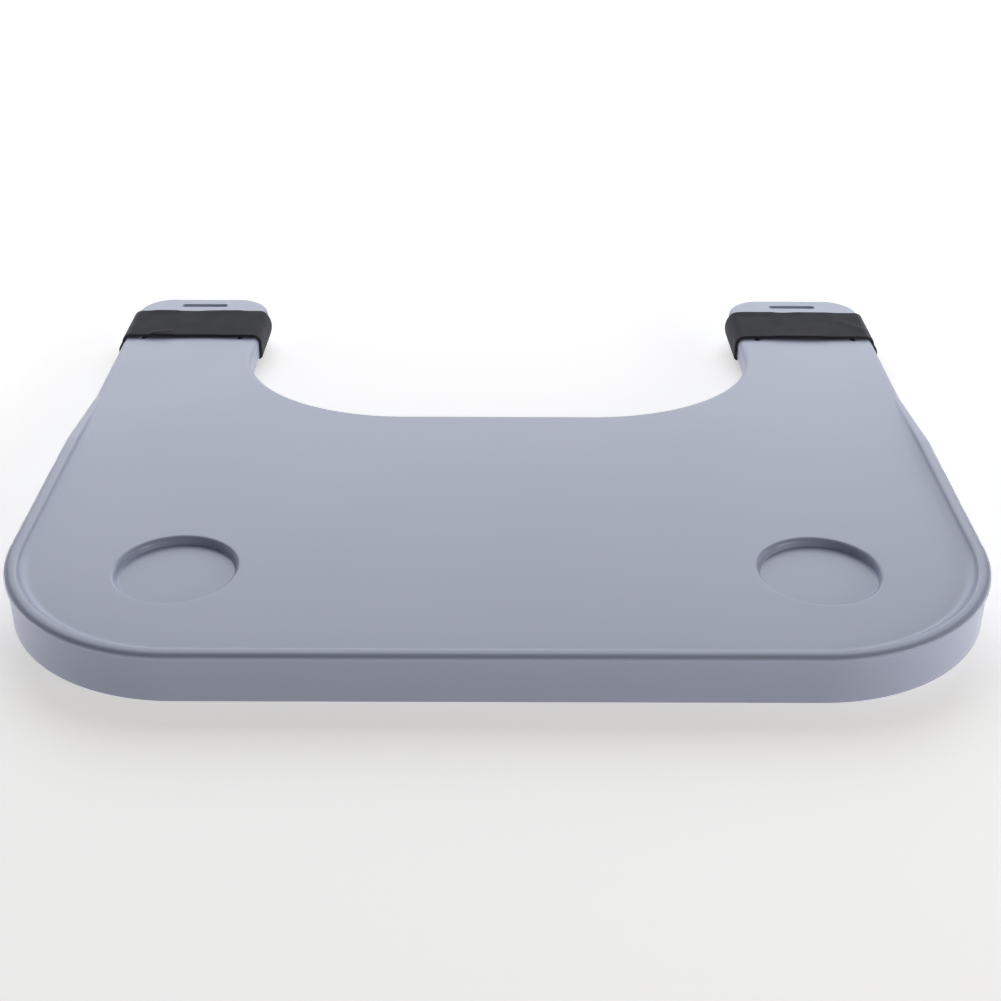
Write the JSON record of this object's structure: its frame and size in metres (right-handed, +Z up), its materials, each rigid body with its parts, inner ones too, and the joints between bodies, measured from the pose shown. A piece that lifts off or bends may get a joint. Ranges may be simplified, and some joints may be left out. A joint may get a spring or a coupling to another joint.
{
  "type": "wheelchair tray table",
  "caption": "Moulded plastic lap tray with raised rim, cup recesses, belly cut-out and slotted arms, each arm wrapped by a sliding hook-and-loop strap.",
  "frame": {"origin": "on the floor under the middle of the part's box, where the skirt stands", "axes": "+X to the right seen from the front edge, +Y from the front edge towards the arms and the person, +Z up"},
  "size_m": [0.6188, 0.534, 0.0335],
  "materials": {
    "tray_plastic": "fine matte grain, lavender grey",
    "strap_webbing": "soft black woven webbing",
    "loop_pile": "brushed black loop pile",
    "hook_tape": "black moulded hooks on tape"
  },
  "bodies": {
    "tray": {"tray_shell": "tray_plastic"},
    "left_strap": {"left_strap_band": "strap_webbing", "left_strap_loop_patch": "loop_pile"},
    "left_strap_tab": {"left_strap_tail": "strap_webbing", "left_strap_hook_patch": "hook_tape"},
    "right_strap": {"right_strap_band": "strap_webbing", "right_strap_loop_patch": "loop_pile"},
    "right_strap_tab": {"right_strap_tail": "strap_webbing", "right_strap_hook_patch": "hook_tape"}
  },
  "joints": [
    {"name": "left_strap_slide", "type": "slide", "parent": "tray", "child": "left_strap", "axis": [0, 1, 0], "range_m": [-0.028, 0.03]},
    {"name": "left_tab_peel", "type": "hinge", "parent": "left_strap", "child": "left_strap_tab", "pos_m": [-0.29965, 0.208, 0.00375], "axis": [0, 1, 0], "range_deg": [0, 180]},
    {"name": "right_strap_slide", "type": "slide", "parent": "tray", "child": "right_strap", "axis": [0, 1, 0], "range_m": [-0.028, 0.03]},
    {"name": "right_tab_peel", "type": "hinge", "parent": "right_strap", "child": "right_strap_tab", "pos_m": [0.29965, 0.208, 0.00375], "axis": [0, -1, 0], "range_deg": [0, 180]}
  ]
}
